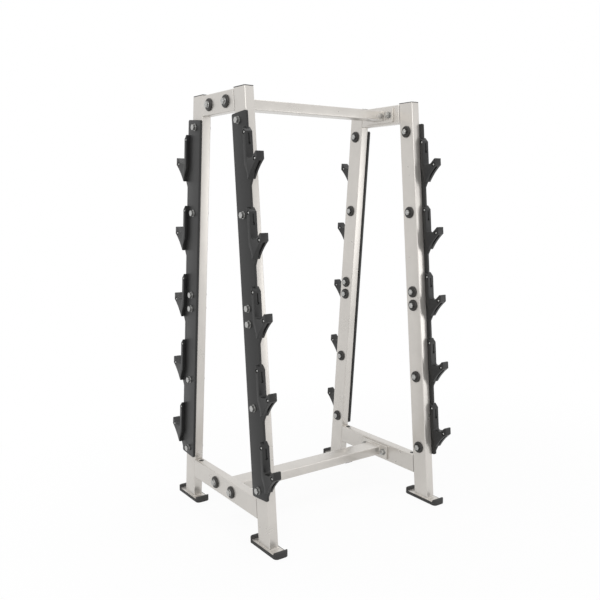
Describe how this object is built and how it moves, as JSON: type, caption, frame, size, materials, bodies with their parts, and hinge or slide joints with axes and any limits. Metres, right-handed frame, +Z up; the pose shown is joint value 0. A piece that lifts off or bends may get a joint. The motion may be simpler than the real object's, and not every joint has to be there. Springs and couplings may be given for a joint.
{
  "type": "barbell storage rack",
  "caption": "Free-standing steel rack with two leaning side frames and saddled hooks front and rear that hold barbells lying across it.",
  "frame": {"origin": "on the floor at the middle of the rack's footprint", "axes": "+X along the stored bars, towards the rack's right side frame, +Y from the front hooks to the rear hooks, +Z up"},
  "size_m": [0.8646, 0.7926, 1.64],
  "materials": {
    "frame_paint": "satin light silver metallic paint",
    "plate_coat": "satin dark grey powder coat",
    "saddle_plastic": "finely grained moulded plastic",
    "boot_rubber": "matt moulded rubber",
    "cap_plastic": "moulded plastic",
    "bezel_plastic": "moulded plastic",
    "fastener_steel": "bright zinc plated"
  },
  "bodies": {
    "root": {"upright_front_left": "frame_paint", "upright_cap_front_left": "cap_plastic", "foot_plate_front_left": "frame_paint", "rubber_boot_front_left": "boot_rubber", "hook_plate_front_left": "plate_coat", "hook_plate_bolt_front_left": "fastener_steel", "saddle_front_left_1": "saddle_plastic", "saddle_front_left_2": "saddle_plastic", "saddle_front_left_3": "saddle_plastic", "saddle_front_left_4": "saddle_plastic", "saddle_front_left_5": "saddle_plastic", "upright_front_right": "frame_paint", "upright_cap_front_right": "cap_plastic", "foot_plate_front_right": "frame_paint", "rubber_boot_front_right": "boot_rubber", "hook_plate_front_right": "plate_coat", "hook_plate_bolt_front_right": "fastener_steel", "saddle_front_right_1": "saddle_plastic", "saddle_front_right_2": "saddle_plastic", "saddle_front_right_3": "saddle_plastic", "saddle_front_right_4": "saddle_plastic", "saddle_front_right_5": "saddle_plastic", "upright_rear_left": "frame_paint", "upright_cap_rear_left": "cap_plastic", "foot_plate_rear_left": "frame_paint", "rubber_boot_rear_left": "boot_rubber", "hook_plate_rear_left": "plate_coat", "hook_plate_bolt_rear_left": "fastener_steel", "saddle_rear_left_1": "saddle_plastic", "saddle_rear_left_2": "saddle_plastic", "saddle_rear_left_3": "saddle_plastic", "saddle_rear_left_4": "saddle_plastic", "saddle_rear_left_5": "saddle_plastic", "upright_rear_right": "frame_paint", "upright_cap_rear_right": "cap_plastic", "foot_plate_rear_right": "frame_paint", "rubber_boot_rear_right": "boot_rubber", "hook_plate_rear_right": "plate_coat", "hook_plate_bolt_rear_right": "fastener_steel", "saddle_rear_right_1": "saddle_plastic", "saddle_rear_right_2": "saddle_plastic", "saddle_rear_right_3": "saddle_plastic", "saddle_rear_right_4": "saddle_plastic", "saddle_rear_right_5": "saddle_plastic", "spreader_top": "frame_paint", "crossmember_top_left": "frame_paint", "spreader_bolt_top_left_front": "fastener_steel", "spreader_bolt_top_left_rear": "fastener_steel", "crossmember_top_right": "frame_paint", "spreader_bolt_top_right_front": "fastener_steel", "spreader_bolt_top_right_rear": "fastener_steel", "spreader_bottom": "frame_paint", "crossmember_bottom_left": "frame_paint", "spreader_bolt_bottom_left_front": "fastener_steel", "spreader_bolt_bottom_left_rear": "fastener_steel", "crossmember_bottom_right": "frame_paint", "spreader_bolt_bottom_right_front": "fastener_steel", "spreader_bolt_bottom_right_rear": "fastener_steel"}
  },
  "joints": []
}
